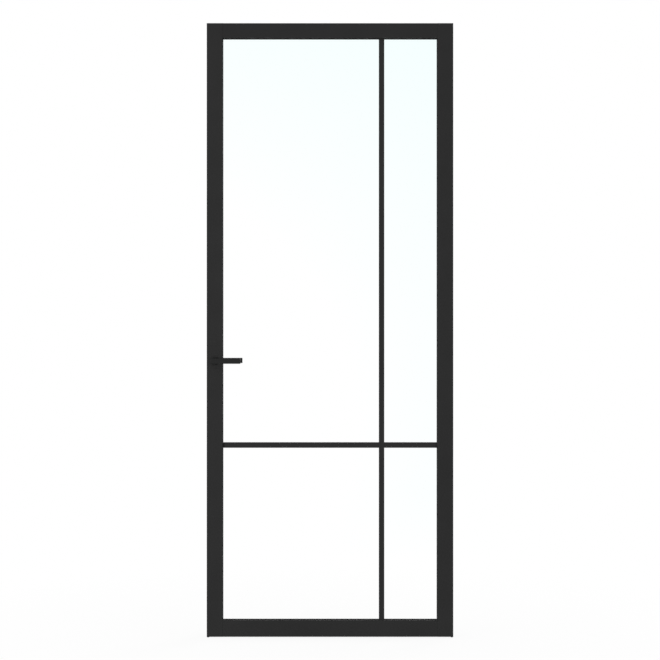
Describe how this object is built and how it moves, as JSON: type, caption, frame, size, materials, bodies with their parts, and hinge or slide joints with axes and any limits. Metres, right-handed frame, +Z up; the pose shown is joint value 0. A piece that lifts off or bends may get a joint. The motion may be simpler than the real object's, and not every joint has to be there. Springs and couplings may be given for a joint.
{
  "type": "glass door",
  "caption": "Slim black-framed glass door: rebated leaf with one pane and applied glazing bars, lever latch and flush barrel hinges, in a flat steel frame.",
  "frame": {"origin": "on the floor, at mid width of the leaf and mid thickness of the leaf", "axes": "+X along the width from the handle side to the hinge side, +Y towards the rear side, +Z up; the front of the leaf faces -Y"},
  "size_m": [0.93, 0.16, 2.32],
  "materials": {
    "coated_aluminium": "satin",
    "coated_steel": "satin",
    "rubber": "matte",
    "foam_tape": "matte",
    "brass": "satin",
    "glass": "polished",
    "nylon": "matte",
    "cast_aluminium": "satin",
    "black_handle": "satin",
    "stainless_steel": "satin",
    "zinc_plated_steel": "satin"
  },
  "bodies": {
    "frame": {"hinge_jamb": "coated_steel", "lock_jamb": "coated_steel", "head_jamb": "coated_steel", "jamb_corner_screws": "zinc_plated_steel", "hinge_side_seal": "rubber", "lock_side_seal": "rubber", "head_seal": "rubber", "strike_plate": "stainless_steel", "strike_screws": "zinc_plated_steel", "lower_hinge_frame_half": "coated_steel", "middle_hinge_frame_half": "coated_steel", "upper_hinge_frame_half": "coated_steel", "lower_hinge_pin": "zinc_plated_steel", "middle_hinge_pin": "zinc_plated_steel", "upper_hinge_pin": "zinc_plated_steel", "lower_hinge_washer": "brass", "middle_hinge_washer": "brass", "upper_hinge_washer": "brass", "hinge_frame_screws": "zinc_plated_steel"},
    "leaf": {"lock_stile": "coated_aluminium", "hinge_stile": "coated_aluminium", "top_rail": "coated_aluminium", "bottom_rail": "coated_aluminium", "corner_blocks": "cast_aluminium", "rail_screws": "zinc_plated_steel", "stile_end_plugs": "nylon", "glass_pane": "glass", "glazing_gasket": "rubber", "setting_blocks": "nylon", "front_upright_bar": "coated_aluminium", "rear_upright_bar": "coated_aluminium", "front_wide_cross_bar": "coated_aluminium", "front_narrow_cross_bar": "coated_aluminium", "rear_wide_cross_bar": "coated_aluminium", "rear_narrow_cross_bar": "coated_aluminium", "front_bar_tape": "foam_tape", "rear_bar_tape": "foam_tape", "lower_hinge_leaf_half": "coated_steel", "middle_hinge_leaf_half": "coated_steel", "upper_hinge_leaf_half": "coated_steel", "hinge_leaf_screws": "zinc_plated_steel", "faceplate": "stainless_steel", "faceplate_screws": "zinc_plated_steel", "lock_case": "zinc_plated_steel", "lock_cover": "zinc_plated_steel", "return_spring": "zinc_plated_steel", "front_rosette": "black_handle", "rear_rosette": "black_handle"},
    "handle": {"front_lever": "black_handle", "rear_lever": "black_handle", "spindle": "zinc_plated_steel", "follower": "zinc_plated_steel", "lever_grub_screws": "zinc_plated_steel"},
    "latch": {"latch_bolt": "stainless_steel"}
  },
  "joints": [
    {"name": "leaf_swing", "type": "hinge", "parent": "frame", "child": "leaf", "pos_m": [0.459, -0.01, 1.1625], "axis": [0, 0, 1], "range_deg": [0, 90]},
    {"name": "lever_turn", "type": "hinge", "parent": "leaf", "child": "handle", "pos_m": [-0.436, 0, 1.046], "axis": [0, 1, 0], "range_deg": [0, 40], "stiffness_Nm_per_rad": 1.2, "springref_deg": -34.38},
    {"name": "latch_slide", "type": "slide", "parent": "leaf", "child": "latch", "axis": [1, 0, 0], "range_m": [0, 0.0095]}
  ],
  "couplings": [
    {"joint": "latch_slide", "follows": "lever_turn", "m_per_rad": 0.0136}
  ]
}
